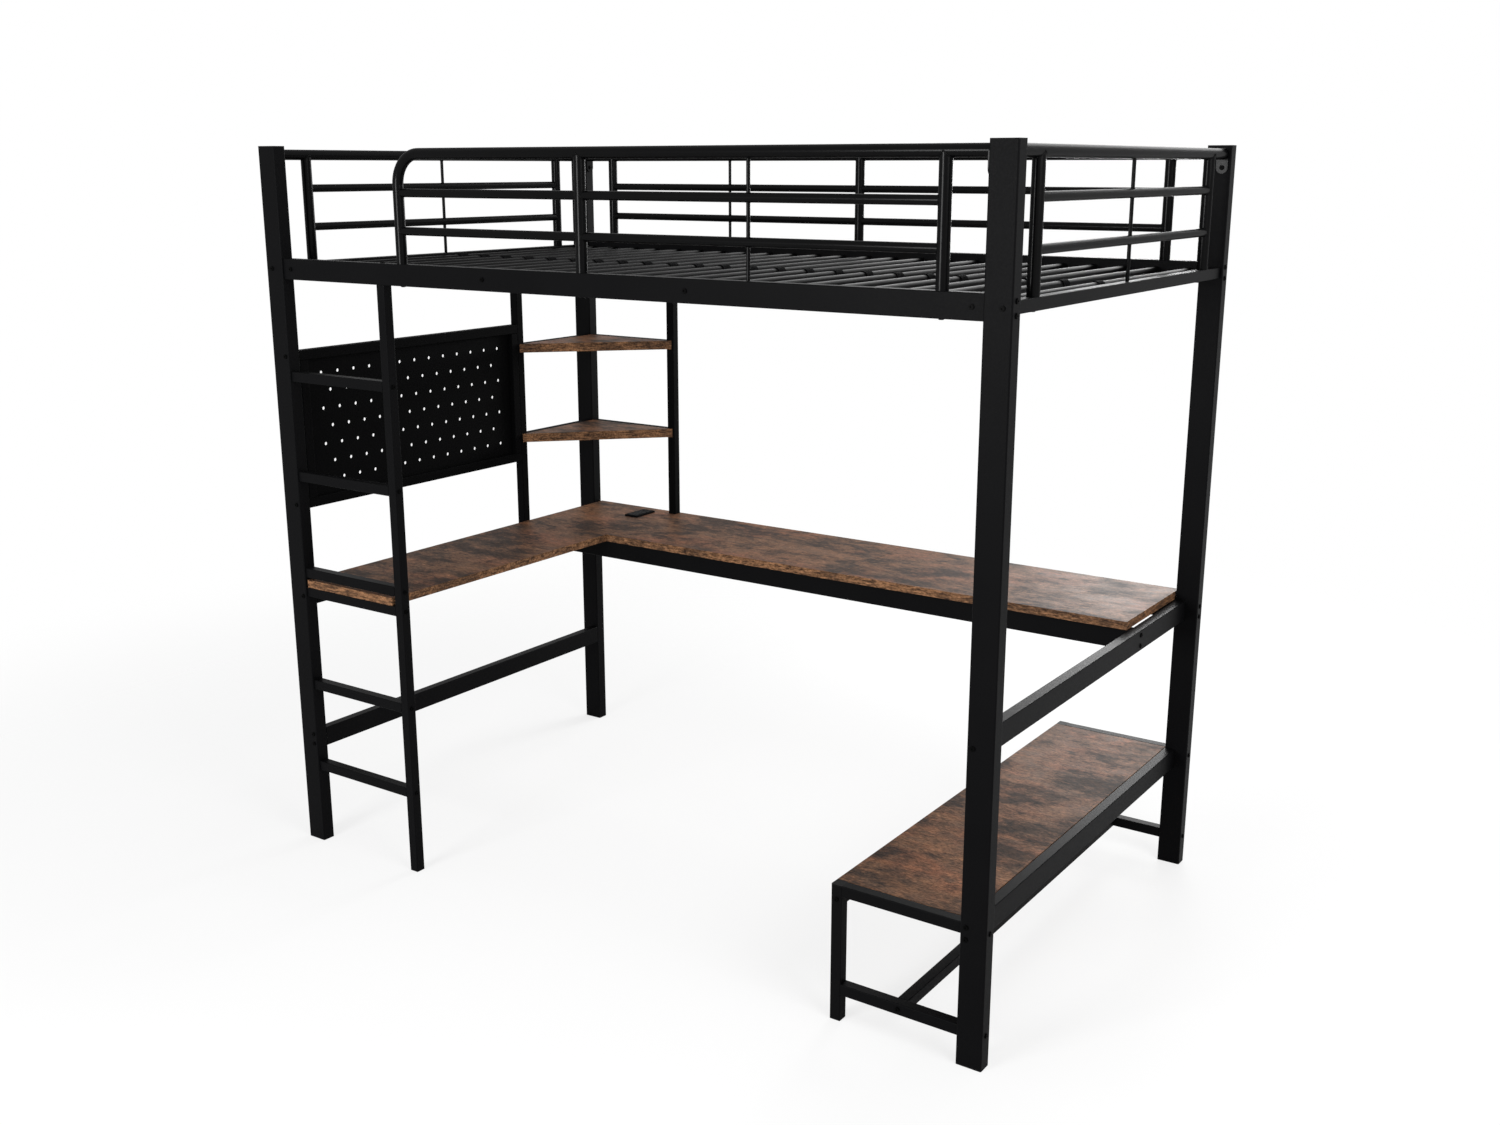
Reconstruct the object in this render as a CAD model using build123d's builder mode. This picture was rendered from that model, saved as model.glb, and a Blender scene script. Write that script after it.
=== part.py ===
from build123d import *
import os

os.makedirs("parts", exist_ok=True)

# Overall frame in millimetres, measured outside the four corner posts.
frame_length = 1990.0
frame_depth = 1178.0
frame_height = 1791.0

# Corner posts.
post_width = 57.0
post_depth = 34.0
post_wall = 1.5
post_corner = 3.0
cap_flange = 3.0
cap_plug = 16.0

# Square bar tube, tall rail tube and their wall.
bar = 25.0
rail_height = 50.0
tube_wall = 1.2
tube_corner = 2.0

# Clearances.
plug_gap = 0.3
weld_gap = 0.2
slide_gap = 0.3
bolt_gap = 0.4
thread_gap = 0.1

# Bolts, screws and what they thread into.
bolt_shank = 6.0
bolt_head = 11.0
bolt_head_height = 1.9
bolt_crown = 8.6
bolt_crown_height = 0.6
bolt_key = 4.0
bolt_key_depth = 1.6
bolt_pair = 26.0
nut_across = 10.0
nut_height = 5.0
block_depth = 14.0
screw_shank = 4.0
screw_head = 8.0
screw_head_height = 1.8
screw_grip = 14.0

# Bed deck.
bed_level = 1502.0
slat_count = 24
slat_pitch = 79.4
slat_tube = 19.0
slat_wall = 1.2
slat_seat = 6.0
slat_plug = 12.0
sleeve_outside = 24.0
sleeve_length = 32.0
sleeve_rib = 0.8
sleeve_ribs = 6
bolted_slats = (0, 8, 15, 23)

# Guardrails.
guard_tube = 25.0
guard_mid_tube = 19.0
guard_rod = 8.0
guard_wall = 1.2
guard_top_drop = 20.0
guard_bend = 68.0
guard_plate = 3.0
guard_plate_width = 27.0
guard_plate_drop = 30.0
side_guard_step_1 = 85.5
side_guard_step_2 = 170.0
end_guard_step_1 = 80.0
end_guard_step_2 = 173.0
side_upright_inset = 90.5
end_upright_inset = 92.5
ladder_gap_end = 458.0

# Ladder between the front left post and its own leg.
ladder_clear = 322.0
rung_levels = (212.0, 437.0, 737.5, 988.0, 1239.5)

# Desk.
desk_top = 720.0
desk_board = 20.0
desk_depth = 353.0
desk_return = 308.0
desk_side_gap = 4.0
board_seam = 0.6
desk_rail_setback = 8.5
board_screw_inset = 104.0

# Corner shelves and the two uprights whose welded arms hold them.
left_upright_reach = 297.0
back_upright_reach = 291.0
shelf_tops = (1244.5, 981.5)
shelf_board = 25.0
shelf_lap = 18.0
shelf_bolt_shift = 5.0
shelf_screw_near = 85.0
shelf_screw_far = 215.0

# Pegboard.
peg_top = 1301.0
peg_height = 399.0
peg_sheet = 3.0
peg_recess = 12.0
peg_hole = 9.0
peg_pitch = 53.3
peg_row_pitch = 45.7
peg_rows = 7
peg_columns = 13

# Bench.
bench_top = 310.0
bench_board_thick = 20.0
bench_clear = 298.0
bench_board_gap = 0.8
bench_bolt_drop = 2.5
bench_pair_rise = 5.0
bench_cap_plug = 4.0
stretcher_level = 73.0
cleat_sheet = 3.0
cleat_length = 60.0
cleat_reach = 24.0
cleat_drop = 20.0
cleat_spread = 400.0

# Power outlet set into the desk corner.
outlet_width = 46.0
outlet_length = 92.0
outlet_flange = 5.0
outlet_body_margin = 4.0
outlet_body_depth = 34.0
outlet_wall = 2.0
outlet_recess = 3.0
outlet_recess_margin = 5.0
outlet_back_inset = 41.0
outlet_side_inset = 198.0
outlet_corner = 3.0
outlet_edge = 1.2
socket_gap = 1.2
socket_proud = 0.6
socket_count = 3
slot_width = 2.2
slot_length = 8.0
slot_spread = 11.0
slot_depth = 2.4
port_width = 5.0
port_length = 13.0
port_spread = 12.0

# Lines and faces that the pieces share.
half_length = frame_length / 2
half_depth = frame_depth / 2
post_mid_x = half_length - post_width / 2
post_in_x = half_length - post_width
post_in_y = half_depth - post_depth
side_y = half_depth - post_depth / 2
rail_in_y = side_y - bar / 2
rail_out_y = side_y + bar / 2
end_rail_x = post_in_x + bar * 1.5
end_rail_out_x = end_rail_x + bar / 2
low_rail_x = post_in_x + bar / 2
low_rail_out_x = post_in_x + bar
bed_top = bed_level + rail_height / 2
bed_bottom = bed_level - rail_height / 2
end_top = bed_level + bar / 2
end_bottom = bed_level - bar / 2
guard_top = frame_height - guard_top_drop
guard_plate_level = guard_top - guard_plate_drop
leg_x = -post_in_x + ladder_clear + bar / 2
leg_left = leg_x - bar / 2
leg_right = leg_x + bar / 2
desk_under = desk_top - desk_board
desk_rail_level = desk_under - rail_height / 2
desk_rail_under = desk_under - rail_height
desk_bar_level = desk_under - bar / 2
desk_edge_x = post_in_x - desk_side_gap
return_edge_x = -desk_edge_x + desk_return
seam_x = (return_edge_x + desk_edge_x) / 2
desk_front_y = half_depth - desk_depth
front_rail_y = desk_front_y + desk_rail_setback + bar / 2
left_upright_y = post_in_y - left_upright_reach - bar / 2
back_upright_x = -post_in_x + back_upright_reach + bar / 2
shelf_mids = [top - shelf_board / 2 for top in shelf_tops]
arm_x_bolts = tuple(z + shelf_bolt_shift for z in shelf_mids)
arm_y_bolts = tuple(z - shelf_bolt_shift for z in shelf_mids)
peg_bottom = peg_top - peg_height
peg_back_y = left_upright_y - bar / 2
bench_leg_x = post_in_x - bench_clear + bar / 2
bench_leg_in = bench_leg_x - bar / 2
bench_leg_out = bench_leg_x + bar / 2
bench_rail_level = bench_top - bar / 2
bench_low_level = bench_top - rail_height / 2
bench_under = bench_top - bench_board_thick
bench_inner_level = bench_under - bar / 2
bench_mid_x = (bench_leg_out + post_in_x) / 2
bench_bolt_level = bench_rail_level - bench_bolt_drop
slat_xs = [(i - (slat_count - 1) / 2) * slat_pitch for i in range(slat_count)]
bolted_xs = [slat_xs[i] for i in bolted_slats]
side_uprights = (-post_in_x + side_upright_inset, 0.0, post_in_x - side_upright_inset)
front_uprights = (0.0, post_in_x - side_upright_inset)
front_bend_x = -ladder_gap_end - guard_bend - guard_tube / 2
end_uprights = (-post_in_y + end_upright_inset, post_in_y - end_upright_inset)
bed_pair = (bed_level - bolt_pair / 2, bed_level + bolt_pair / 2)
desk_pair = (desk_rail_level - bolt_pair / 2, desk_rail_level + bolt_pair / 2)
low_pair = (bench_low_level - bolt_pair / 2, bench_low_level + bolt_pair / 2)
bench_pair = tuple(z + bench_pair_rise for z in low_pair)
peg_pair = (peg_bottom + bar / 2, peg_top - bar / 2)
rung_bolts = tuple(rung_levels) + (desk_bar_level,)
post_grip = block_depth - 2.0


def station(axis, level):
    """Sketch plane across an axis: X shows (Y, Z), Y shows (Z, X), Z shows (X, Y)."""
    if axis == "X":
        return Plane(origin=(level, 0, 0), x_dir=(0, 1, 0), z_dir=(1, 0, 0))
    if axis == "Y":
        return Plane(origin=(0, level, 0), x_dir=(0, 0, 1), z_dir=(0, 1, 0))
    return Plane.XY.offset(level)


def prism(axis, low, high, places, across, up, mode=Mode.ADD):
    """Rectangular bars that run from low to high along an axis."""
    with BuildSketch(station(axis, low)) as outline:
        with Locations(*places):
            Rectangle(across, up)
    extrude(outline.sketch, amount=high - low, mode=mode)


def rod(axis, low, high, places, diameter, mode=Mode.ADD):
    """Round bars, or round holes, that run from low to high along an axis."""
    with BuildSketch(station(axis, low)) as outline:
        with Locations(*places):
            Circle(diameter / 2)
    extrude(outline.sketch, amount=high - low, mode=mode)


def rounded_bar(axis, low, high, places, across, up, corner):
    """Solid bars with rounded corners that run from low to high along an axis."""
    with BuildSketch(station(axis, low)) as outline:
        with Locations(*places):
            RectangleRounded(across, up, corner)
    extrude(outline.sketch, amount=high - low)


def square_tube(axis, low, high, places, across, up, wall=tube_wall, corner=tube_corner):
    """Hollow rectangular tubes with rounded corners that run from low to high along an axis."""
    with BuildSketch(station(axis, low)) as outline:
        with Locations(*places):
            RectangleRounded(across, up, corner)
            RectangleRounded(across - 2 * wall, up - 2 * wall, corner - wall, mode=Mode.SUBTRACT)
    extrude(outline.sketch, amount=high - low)


def pipe(axis, low, high, places, diameter, wall):
    """Hollow round tubes that run from low to high along an axis."""
    with BuildSketch(station(axis, low)) as outline:
        with Locations(*places):
            Circle(diameter / 2)
            Circle(diameter / 2 - wall, mode=Mode.SUBTRACT)
    extrude(outline.sketch, amount=high - low)


def bolt_holes(axis, low, high, places):
    """Clearance holes for bolts, cut between two levels."""
    rod(axis, low, high, places, bolt_shank + 2 * bolt_gap, Mode.SUBTRACT)


def screw_holes(axis, low, high, places):
    """Clearance holes for wood screws."""
    rod(axis, low, high, places, screw_shank + 2 * bolt_gap, Mode.SUBTRACT)


def pilot_holes(low, high, places, axis="Z"):
    """Holes in a board that wood screws bite into."""
    rod(axis, low, high, places, screw_shank + 2 * thread_gap, Mode.SUBTRACT)


def bolts(axis, seat, point, places, length):
    """Button head bolts with a hex key recess; point is the way that the shank goes."""
    rod(axis, seat, seat - point * bolt_head_height, places, bolt_head)
    crown = seat - point * bolt_head_height
    rod(axis, crown, crown - point * bolt_crown_height, places, bolt_crown)
    rod(axis, seat, seat + point * length, places, bolt_shank)
    tip = crown - point * bolt_crown_height
    with BuildSketch(station(axis, tip)) as key:
        with Locations(*places):
            RegularPolygon(bolt_key / 2, 6, major_radius=False)
    extrude(key.sketch, amount=point * bolt_key_depth, mode=Mode.SUBTRACT)


def screws(axis, seat, point, places, length):
    """Pan head wood screws."""
    rod(axis, seat, seat - point * screw_head_height, places, screw_head)
    rod(axis, seat, seat + point * length, places, screw_shank)


def nuts(axis, low, places):
    """Hex nuts that stand on a face."""
    with BuildSketch(station(axis, low)) as outline:
        with Locations(*places):
            RegularPolygon(nut_across / 2, 6, major_radius=False)
            Circle(bolt_shank / 2 + thread_gap, mode=Mode.SUBTRACT)
    extrude(outline.sketch, amount=nut_height)


def end_blocks(axis, face, inward, places, up, bores):
    """Threaded blocks inside tube ends, bored for their bolts."""
    far = face + inward * block_depth
    low, high = min(face, far), max(face, far)
    inner = 2 * tube_wall + 2 * plug_gap
    size = (bar - inner, up - inner)
    if axis == "Y":
        size = (up - inner, bar - inner)
    rounded_bar(axis, low, high, places, *size, tube_corner - tube_wall)
    rod(axis, low - 1, high + 1, bores, bolt_shank + 2 * thread_gap, Mode.SUBTRACT)


def finish(builder, name):
    """Name a finished piece and write its file."""
    builder.part.label = name
    export_step(builder.part, "parts/" + name + ".step")


def post(sx, sy, x_bolts, y_bolts, x_plate, y_plate):
    """Corner post with every hole that its bolts need."""
    mid = (sx * post_mid_x, sy * side_y)
    square_tube("Z", cap_flange, frame_height - cap_flange, [mid], post_width, post_depth,
                post_wall, post_corner)
    low, high = sorted((sx * (half_length + 1), sx * (post_in_x - 1)))
    bolt_holes("X", low, high, [(sy * side_y, z) for z in x_bolts])
    low, high = sorted((sy * (half_depth + 1), sy * (post_in_y - 1)))
    bolt_holes("Y", low, high, y_bolts)
    if x_plate:
        near, far = sorted((sx * (post_in_x - 1), sx * (post_in_x + post_wall + 1)))
        bolt_holes("X", near, far, [(sy * side_y, guard_plate_level)])
    if y_plate:
        near, far = sorted((sy * (post_in_y - 1), sy * (post_in_y + post_wall + 1)))
        bolt_holes("Y", near, far, [(z, x) for z, x in y_plate])


# Corner posts.
bed_end_left = (bed_level, -end_rail_x)
bed_end_right = (bed_level, end_rail_x)
plate_left = (guard_plate_level, -end_rail_x)
plate_right = (guard_plate_level, end_rail_x)

with BuildPart() as post_front_left:
    left_rows = (desk_rail_level,) + low_pair + peg_pair
    post(-1, -1, bed_pair + rung_bolts, [bed_end_left] + [(z, -low_rail_x) for z in left_rows],
         False, [plate_left])
finish(post_front_left, "post_front_left")

with BuildPart() as post_front_right:
    right_rows = (desk_rail_level,) + bench_pair
    post(1, -1, bed_pair + (bench_bolt_level, stretcher_level),
         [bed_end_right] + [(z, low_rail_x) for z in right_rows], True, [plate_right])
finish(post_front_right, "post_front_right")

with BuildPart() as post_back_left:
    left_rows = (desk_rail_level,) + low_pair + arm_y_bolts
    post(-1, 1, bed_pair + desk_pair + arm_x_bolts,
         [bed_end_left] + [(z, -low_rail_x) for z in left_rows], True, [plate_left])
finish(post_back_left, "post_back_left")

with BuildPart() as post_back_right:
    post(1, 1, bed_pair + desk_pair + (bench_bolt_level, stretcher_level),
         [bed_end_right] + [(z, low_rail_x) for z in right_rows], True, [plate_right])
finish(post_back_right, "post_back_right")

post_spots = [(sx * post_mid_x, sy * side_y) for sx in (-1, 1) for sy in (-1, 1)]
post_plug_x = post_width - 2 * post_wall - 2 * plug_gap
post_plug_y = post_depth - 2 * post_wall - 2 * plug_gap

with BuildPart() as post_top_caps:
    rounded_bar("Z", frame_height - cap_flange, frame_height, post_spots, post_width, post_depth,
                post_corner)
    rounded_bar("Z", frame_height - cap_flange - cap_plug, frame_height - cap_flange, post_spots,
                post_plug_x, post_plug_y, post_corner - post_wall)
finish(post_top_caps, "post_top_caps")

with BuildPart() as post_feet:
    rounded_bar("Z", 0, cap_flange, post_spots, post_width, post_depth, post_corner)
    rounded_bar("Z", cap_flange, cap_flange + cap_plug, post_spots, post_plug_x, post_plug_y,
                post_corner - post_wall)
finish(post_feet, "post_feet")

leg_spots = [(leg_x, -side_y), (bench_leg_x, -side_y), (bench_leg_x, side_y)]
bar_plug = bar - 2 * tube_wall - 2 * plug_gap

with BuildPart() as leg_feet:
    rounded_bar("Z", 0, cap_flange, leg_spots, bar, bar, tube_corner)
    rounded_bar("Z", cap_flange, cap_flange + cap_plug, leg_spots, bar_plug, bar_plug,
                tube_corner - tube_wall)
finish(leg_feet, "leg_feet")


# Bed frame.
def side_rail(sy, uprights, hung):
    """Long rail of the bed, with seats for the slats and holes for what it carries."""
    square_tube("X", -post_in_x, post_in_x, [(sy * side_y, bed_level)], bar, rail_height)
    low, high = sorted((sy * (rail_in_y - 1), sy * (rail_in_y + tube_wall + 1)))
    rod("Y", low, high, [(bed_level, x) for x in slat_xs], slat_tube + 2 * slide_gap, Mode.SUBTRACT)
    low, high = sorted((sy * (rail_out_y - tube_wall - 1), sy * (rail_out_y + 1)))
    bolt_holes("Y", low, high, [(bed_level, x) for x in bolted_xs])
    bolt_holes("Z", bed_bottom - 1, bed_top + 1, [(x, sy * side_y) for x in tuple(uprights) + hung])


front_stand = (front_bend_x,) + front_uprights

with BuildPart() as front_side_rail:
    side_rail(-1, front_stand, (leg_x,))
finish(front_side_rail, "front_side_rail")

with BuildPart() as back_side_rail:
    side_rail(1, side_uprights, (back_upright_x,))
finish(back_side_rail, "back_side_rail")


def end_rail(sx, extra):
    """Short rail of the bed at one end."""
    square_tube("Y", -post_in_y, post_in_y, [(bed_level, sx * end_rail_x)], bar, bar)
    bolt_holes("Z", end_bottom - 1, end_top + 1, [(sx * end_rail_x, y) for y in end_uprights])
    if extra:
        low, high = sorted((sx * (end_rail_x - bar), sx * (end_rail_x + bar)))
        bolt_holes("X", low, high, extra)


with BuildPart() as left_end_rail:
    end_rail(-1, [(left_upright_y, bed_level)])
finish(left_end_rail, "left_end_rail")

with BuildPart() as right_end_rail:
    end_rail(1, [])
finish(right_end_rail, "right_end_rail")

slat_end = rail_in_y + slat_seat

with BuildPart() as bed_slats:
    pipe("Y", -slat_end, slat_end, [(bed_level, x) for x in slat_xs], slat_tube, slat_wall)
finish(bed_slats, "bed_slats")

with BuildPart() as slat_plugs:
    plug_spots = [(bed_level, x) for x in bolted_xs]
    plug_outside = slat_tube - 2 * slat_wall - 2 * plug_gap
    for end in (-1, 1):
        low, high = sorted((end * slat_end, end * (slat_end - slat_plug)))
        rod("Y", low, high, plug_spots, plug_outside)
        rod("Y", low - 1, high + 1, plug_spots, bolt_shank + 2 * thread_gap, Mode.SUBTRACT)
finish(slat_plugs, "slat_plugs")

with BuildPart() as slat_sleeves:
    sleeve_spots = [(bed_level, x) for x in slat_xs]
    rod("Y", -sleeve_length / 2, sleeve_length / 2, sleeve_spots, sleeve_outside - 2 * sleeve_rib)
    rib_step = sleeve_length / sleeve_ribs
    for rib in range(sleeve_ribs):
        start = -sleeve_length / 2 + rib * rib_step
        rod("Y", start, start + rib_step / 2, sleeve_spots, sleeve_outside)
    rod("Y", -sleeve_length, sleeve_length, sleeve_spots, slat_tube + 2 * slide_gap, Mode.SUBTRACT)
finish(slat_sleeves, "slat_sleeves")


# Guardrails: welded panels of round tube, each tube kept as a solid of its own.
def along(axis, cross, level):
    """Place across a tube that runs along a side."""
    return (cross, level) if axis == "X" else (level, cross)


def standing(axis, spot, cross):
    """Place across a tube that stands on a side."""
    return (spot, cross) if axis == "X" else (cross, spot)


def guard_bars(axis, cross, base, levels, uprights, posts, rods, low, high):
    """Uprights, middle rails, thin rods and top tube of one guardrail."""
    mids = [along(axis, cross, z) for z in levels]
    reach = (min(uprights), max(uprights))
    rod("Z", base, guard_top, [standing(axis, s, cross) for s in rods], guard_rod)
    rod(axis, *reach, mids, guard_mid_tube + 2 * weld_gap, Mode.SUBTRACT)
    pipe(axis, *reach, mids, guard_mid_tube, guard_wall)
    spots = [standing(axis, s, cross) for s in uprights]
    rod("Z", base, guard_top, spots, guard_tube + 2 * weld_gap, Mode.SUBTRACT)
    pipe("Z", base, guard_top, [standing(axis, s, cross) for s in posts], guard_tube, guard_wall)
    rod(axis, low, high, [along(axis, cross, guard_top)], guard_tube + 2 * weld_gap, Mode.SUBTRACT)
    pipe(axis, low, high, [along(axis, cross, guard_top)], guard_tube, guard_wall)


def end_plate(axis, low, high, cross):
    """Oblong plate that bolts the end of a top tube to its post."""
    slant = 90 if axis == "X" else 0
    middle = guard_top - guard_plate_drop / 2
    with BuildSketch(station(axis, low)) as outline:
        with Locations(along(axis, cross, middle)):
            SlotCenterToCenter(guard_plate_drop, guard_plate_width, rotation=slant)
        with Locations(along(axis, cross, guard_plate_level)):
            Circle(bolt_shank / 2 + bolt_gap, mode=Mode.SUBTRACT)
    extrude(outline.sketch, amount=high - low)


side_levels = (guard_top - side_guard_step_1, guard_top - side_guard_step_2)
end_levels = (guard_top - end_guard_step_1, guard_top - end_guard_step_2)
plate_x = post_in_x - guard_plate
plate_y = post_in_y - guard_plate
mid_rods = (side_uprights[0] / 2, side_uprights[2] / 2)

with BuildPart() as back_guardrail:
    guard_bars("X", side_y, bed_top, side_levels, side_uprights, side_uprights, mid_rods,
               -plate_x + weld_gap, plate_x - weld_gap)
    end_plate("X", -post_in_x, -plate_x, side_y)
    end_plate("X", plate_x, post_in_x, side_y)
finish(back_guardrail, "back_guardrail")

with BuildPart() as front_guardrail:
    guard_bars("X", -side_y, bed_top, side_levels, front_stand, front_uprights, mid_rods[1:],
               front_bend_x + guard_bend + weld_gap, plate_x - weld_gap)
    end_plate("X", plate_x, post_in_x, -side_y)
    pipe("Z", bed_top, guard_top - guard_bend - weld_gap, [(front_bend_x, -side_y)],
         guard_tube, guard_wall)
    with BuildSketch(station("X", front_bend_x + guard_bend)) as bend_end:
        with Locations((-side_y, guard_top)):
            Circle(guard_tube / 2)
            Circle(guard_tube / 2 - guard_wall, mode=Mode.SUBTRACT)
    bend_axis = Axis((front_bend_x + guard_bend, -side_y, guard_top - guard_bend), (0, -1, 0))
    revolve(bend_end.sketch, axis=bend_axis, revolution_arc=90)
finish(front_guardrail, "front_guardrail")

for side, name in ((-1, "left_guardrail"), (1, "right_guardrail")):
    with BuildPart() as end_guardrail:
        guard_bars("Y", side * end_rail_x, end_top, end_levels, end_uprights, end_uprights, (0.0,),
                   -plate_y + weld_gap, plate_y - weld_gap)
        end_plate("Y", -post_in_y, -plate_y, side * end_rail_x)
        end_plate("Y", plate_y, post_in_y, side * end_rail_x)
    finish(end_guardrail, name)

with BuildPart() as guard_plugs:
    plug_round = guard_tube - 2 * guard_wall - 2 * plug_gap
    side_feet = [(x, -side_y) for x in front_stand] + [(x, side_y) for x in side_uprights]
    end_feet = [(sx * end_rail_x, y) for sx in (-1, 1) for y in end_uprights]
    for base, spots in ((bed_top, side_feet), (end_top, end_feet)):
        rod("Z", base, base + block_depth, spots, plug_round)
        rod("Z", base - 1, base + block_depth + 1, spots, bolt_shank + 2 * thread_gap, Mode.SUBTRACT)
finish(guard_plugs, "guard_plugs")


# Ladder.
with BuildPart() as ladder_leg:
    square_tube("Z", cap_flange, bed_bottom, [(leg_x, -side_y)], bar, bar)
    bolt_holes("X", leg_left - 1, leg_right + 1, [(-side_y, z) for z in rung_bolts])
finish(ladder_leg, "ladder_leg")

with BuildPart() as ladder_rungs:
    square_tube("X", -post_in_x, leg_left, [(-side_y, z) for z in rung_levels], bar, bar)
finish(ladder_rungs, "ladder_rungs")


# Desk frame.
board_edges = (
    (-desk_edge_x, return_edge_x),
    (return_edge_x, seam_x),
    (seam_x, desk_edge_x),
)
screw_xs = [(low + board_screw_inset, high - board_screw_inset) for low, high in board_edges]
all_screw_xs = [x for pair in screw_xs for x in pair]
front_screws = [(x, front_rail_y) for x in all_screw_xs]
back_screws = [(x, side_y) for x in all_screw_xs]
bar_screws = [(x, -side_y) for x in screw_xs[0]]

with BuildPart() as desk_end_bar:
    square_tube("X", -post_in_x, leg_left, [(-side_y, desk_bar_level)], bar, bar)
    screw_holes("Z", desk_under - bar - 1, desk_under + 1, bar_screws)
finish(desk_end_bar, "desk_end_bar")

tie_pair = [(front_rail_y, z) for z in desk_pair]

with BuildPart() as desk_left_rail:
    square_tube("Y", -post_in_y, post_in_y, [(desk_rail_level, -low_rail_x)], rail_height, bar)
    bolt_holes("X", -low_rail_out_x - 1, -post_in_x + 1, tie_pair)
    bolt_holes("Z", desk_rail_under - 1, desk_under + 1, [(-low_rail_x, left_upright_y)])
finish(desk_left_rail, "desk_left_rail")

with BuildPart() as desk_right_rail:
    square_tube("Y", -post_in_y, post_in_y, [(desk_rail_level, low_rail_x)], rail_height, bar)
    bolt_holes("X", post_in_x - 1, low_rail_out_x + 1, tie_pair)
finish(desk_right_rail, "desk_right_rail")

with BuildPart() as desk_back_rail:
    square_tube("X", -post_in_x, post_in_x, [(side_y, desk_rail_level)], bar, rail_height)
    screw_holes("Z", desk_rail_under - 1, desk_under + 1, back_screws)
    bolt_holes("Z", desk_rail_under - 1, desk_under + 1, [(back_upright_x, side_y)])
finish(desk_back_rail, "desk_back_rail")

with BuildPart() as desk_front_rail:
    square_tube("X", -post_in_x, post_in_x, [(front_rail_y, desk_rail_level)], bar, rail_height)
    screw_holes("Z", desk_rail_under - 1, desk_under + 1, front_screws)
finish(desk_front_rail, "desk_front_rail")


# Desk boards.
outlet_x = -desk_edge_x + outlet_side_inset + outlet_width / 2
outlet_y = half_depth - outlet_back_inset - outlet_length / 2
outlet_body_x = outlet_width - 2 * outlet_body_margin
outlet_body_y = outlet_length - 2 * outlet_body_margin


def slab(low_x, high_x, low_y, high_y, bottom, top):
    """Flat board between four edges."""
    middle = ((low_x + high_x) / 2, (low_y + high_y) / 2)
    prism("Z", bottom, top, [middle], high_x - low_x, high_y - low_y)


with BuildPart() as desk_return_board:
    slab(-desk_edge_x, return_edge_x - board_seam / 2, -rail_out_y,
         half_depth, desk_under, desk_top)
    prism("Z", desk_under - 1, desk_top + 1, [(outlet_x, outlet_y)], outlet_body_x + 2 * slide_gap,
          outlet_body_y + 2 * slide_gap, Mode.SUBTRACT)
    spots = [(x, y) for x in screw_xs[0] for y in (-side_y, front_rail_y, side_y)]
    pilot_holes(desk_under - 1, desk_under + screw_grip, spots)
    bolt_holes("Z", desk_under - 1, desk_top + 1, [(back_upright_x, side_y)])
finish(desk_return_board, "desk_return_board")

for name, (low, high), pair in (
    ("desk_board_left", board_edges[1], screw_xs[1]),
    ("desk_board_right", board_edges[2], screw_xs[2]),
):
    with BuildPart() as desk_main_board:
        right = high - board_seam / 2 if name == "desk_board_left" else high
        slab(low + board_seam / 2, right, desk_front_y, half_depth, desk_under, desk_top)
        pilot_holes(desk_under - 1, desk_under + screw_grip,
                    [(x, y) for x in pair for y in (front_rail_y, side_y)])
    finish(desk_main_board, name)


# Power outlet.
recess_x = outlet_width - 2 * outlet_recess_margin
recess_y = outlet_length - 2 * outlet_recess_margin
socket_y = (recess_y - (socket_count + 1) * socket_gap) / socket_count
socket_x = recess_x - 2 * socket_gap
outlet_face = desk_top + outlet_flange
socket_floor = outlet_face - outlet_recess
socket_mids = [
    (outlet_x, outlet_y + (i - (socket_count - 1) / 2) * (socket_y + socket_gap))
    for i in range(socket_count)
]

with BuildPart() as outlet_housing:
    with BuildSketch(station("Z", desk_top)) as flange:
        with Locations((outlet_x, outlet_y)):
            RectangleRounded(outlet_width, outlet_length, outlet_corner)
    extrude(flange.sketch, amount=outlet_flange)
    chamfer(outlet_housing.faces().sort_by(Axis.Z)[-1].edges(), outlet_edge)
    body_low = desk_top - outlet_body_depth
    prism("Z", body_low, desk_top, [(outlet_x, outlet_y)], outlet_body_x, outlet_body_y)
    prism("Z", socket_floor, outlet_face + 1, [(outlet_x, outlet_y)], recess_x, recess_y, Mode.SUBTRACT)
    prism("Z", body_low + outlet_wall, desk_top - outlet_wall, [(outlet_x, outlet_y)],
          outlet_body_x - 2 * outlet_wall, outlet_body_y - 2 * outlet_wall, Mode.SUBTRACT)
finish(outlet_housing, "outlet_housing")

with BuildPart() as outlet_sockets:
    socket_face = outlet_face + socket_proud
    prism("Z", socket_floor, socket_face, socket_mids, socket_x, socket_y)
    slots = [(x + s * slot_spread / 2, y) for x, y in socket_mids[:2] for s in (-1, 1)]
    prism("Z", socket_face - slot_depth, socket_face + 1, slots, slot_width, slot_length, Mode.SUBTRACT)
    ports = [(x + s * port_spread / 2, y) for x, y in socket_mids[2:] for s in (-1, 1)]
    prism("Z", socket_face - slot_depth, socket_face + 1, ports, port_width, port_length, Mode.SUBTRACT)
finish(outlet_sockets, "outlet_sockets")


# Uprights of the corner shelves, each with two welded arms that reach the back left post.
left_screw_ys = (post_in_y - shelf_screw_far, post_in_y - shelf_screw_near)
back_screw_xs = (-post_in_x + shelf_screw_near, -post_in_x + shelf_screw_far)
left_arm_screws = [(y, z) for y in left_screw_ys for z in shelf_mids]
back_arm_screws = [(z, x) for x in back_screw_xs for z in shelf_mids]

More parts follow.
